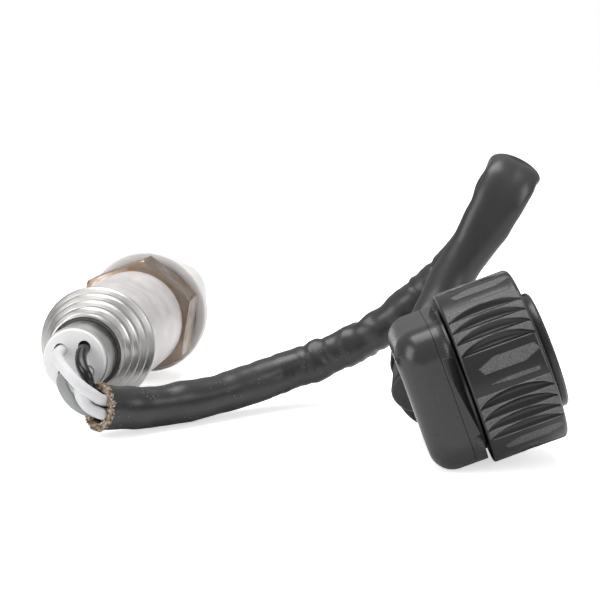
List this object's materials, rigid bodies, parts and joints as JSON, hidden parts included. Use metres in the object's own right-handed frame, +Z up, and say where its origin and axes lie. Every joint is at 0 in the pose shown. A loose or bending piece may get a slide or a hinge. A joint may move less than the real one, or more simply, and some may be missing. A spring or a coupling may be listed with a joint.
{
  "type": "oxygen sensor",
  "caption": "Exhaust oxygen sensor with hexagon and thread, stepped steel sleeve, protective thread cap, sleeved wires and a round bayonet connector.",
  "frame": {"origin": "on the surface the sensor lies on, under the middle of the sensor's length", "axes": "+Y along the sensor's axis from its wire end to its thread cap, +Z up, +X towards the connector's side"},
  "size_m": [0.1012, 0.1096, 0.0485],
  "materials": {
    "body_steel": "satin stainless steel with a brown heat tint",
    "washer_steel": "dark steel",
    "shield_steel": "satin stainless steel",
    "barrel_steel": "satin stainless steel, faintly pink",
    "sleeve_steel": "bright drawn stainless steel",
    "spring_metal": "spring steel",
    "contact_metal": "bright",
    "zirconia": "opaque white ceramic",
    "alumina": "opaque white ceramic",
    "talc": "pressed powder",
    "filter": "porous dark membrane",
    "grommet": "white fluoropolymer, satin",
    "cap_plastic": "white polyethylene, satin",
    "white_insulation": "satin",
    "black_insulation": "satin",
    "grey_insulation": "satin",
    "sleeving": "varnished glass-fibre braid, glossy black",
    "housing_plastic": "black glass-filled nylon",
    "ring_plastic": "black glass-filled nylon",
    "insert_plastic": "black",
    "seal_rubber": "silicone rubber"
  },
  "bodies": {
    "sensor": {"sensor_body": "body_steel", "sealing_washer": "washer_steel", "outer_shield": "shield_steel", "inner_shield": "shield_steel", "sensing_element": "zirconia", "heater_rod": "alumina", "packing_ring": "talc", "support_ceramic": "alumina", "terminal_carrier": "alumina", "contact_springs": "spring_metal", "barrel_sleeve": "barrel_steel", "stepped_sleeve": "sleeve_steel", "vent_filter": "filter", "crimp_tube": "sleeve_steel", "wire_grommet": "grommet", "wire_white_left": "white_insulation", "wire_white_right": "white_insulation", "wire_black": "black_insulation", "wire_grey": "grey_insulation", "harness_sleeve": "sleeving", "plug_body": "housing_plastic", "rear_cover": "housing_plastic", "cable_outlet": "housing_plastic", "contact_insert": "insert_plastic", "contact_sockets": "contact_metal", "mating_seal": "seal_rubber", "wire_seal": "seal_rubber", "ring_clip": "spring_metal"},
    "cap": {"thread_cap": "cap_plastic"},
    "ring": {"coupling_ring": "ring_plastic"}
  },
  "joints": [
    {"name": "cap_pull", "type": "slide", "parent": "sensor", "child": "cap", "axis": [0, 1, 0], "range_m": [0, 0.03]},
    {"name": "ring_turn", "type": "hinge", "parent": "sensor", "child": "ring", "pos_m": [0.0768, -0.052, 0.0161], "axis": [0.9259, 0.1533, 0.3453], "range_deg": [0, 45]}
  ]
}
